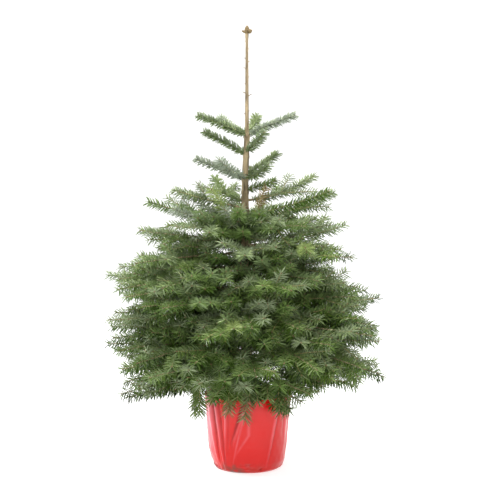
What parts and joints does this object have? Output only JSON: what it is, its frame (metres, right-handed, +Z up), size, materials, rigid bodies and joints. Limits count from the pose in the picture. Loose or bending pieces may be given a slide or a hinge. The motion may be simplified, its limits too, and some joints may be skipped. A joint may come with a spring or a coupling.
{
  "type": "potted christmas tree",
  "caption": "Young living fir with whorled boughs and a long bare leader, standing in a nursery pot wrapped in glossy red film.",
  "frame": {"origin": "middle of the pot bag's flat underside, on the floor", "axes": "+Z up along the trunk; -Y is the side first seen, +X is to its right"},
  "size_m": [0.763, 0.7114, 1.1736],
  "materials": {
    "needles": "satin needles, green above and pale blue-grey below",
    "bark": "thin grey-tan bark, matt",
    "buds": "resinous brown buds",
    "pot": "matt black moulded",
    "soil": "loose matt compost",
    "film": "glossy creased film"
  },
  "bodies": {
    "root": {"bough_first_1": "bark", "bough_first_2": "bark", "bough_first_3": "bark", "leader_buds": "buds", "pot": "pot", "pot_bag": "film", "root_ball": "soil", "spray_crown_1": "needles", "spray_crown_2": "needles", "spray_crown_3": "needles", "spray_crown_4": "needles", "spray_fifth_1": "needles", "spray_fifth_2": "needles", "spray_fifth_3": "needles", "spray_fifth_4": "needles", "spray_fifth_5": "needles", "spray_fifth_6": "needles", "spray_first_1": "needles", "spray_first_2": "needles", "spray_first_3": "needles", "spray_foot_1": "needles", "spray_foot_2": "needles", "spray_foot_3": "needles", "spray_foot_4": "needles", "spray_foot_5": "needles", "spray_fourth_1": "needles", "spray_fourth_2": "needles", "spray_fourth_3": "needles", "spray_fourth_4": "needles", "spray_fourth_5": "needles", "spray_fourth_6": "needles", "spray_lower_1": "needles", "spray_middle_1": "needles", "spray_middle_2": "needles", "spray_middle_3": "needles", "spray_middle_4": "needles", "spray_second_1": "needles", "spray_second_2": "needles", "spray_second_3": "needles", "spray_second_4": "needles", "spray_second_5": "needles", "spray_second_6": "needles", "spray_sixth_1": "needles", "spray_sixth_2": "needles", "spray_sixth_3": "needles", "spray_sixth_4": "needles", "spray_sixth_5": "needles", "spray_sixth_6": "needles", "spray_skirt_1": "needles", "spray_skirt_2": "needles", "spray_third_1": "needles", "spray_third_2": "needles", "spray_third_3": "needles", "spray_third_4": "needles", "spray_third_5": "needles", "spray_third_6": "needles", "spray_upper_1": "needles", "spray_upper_2": "needles", "trunk": "bark"}
  },
  "joints": []
}
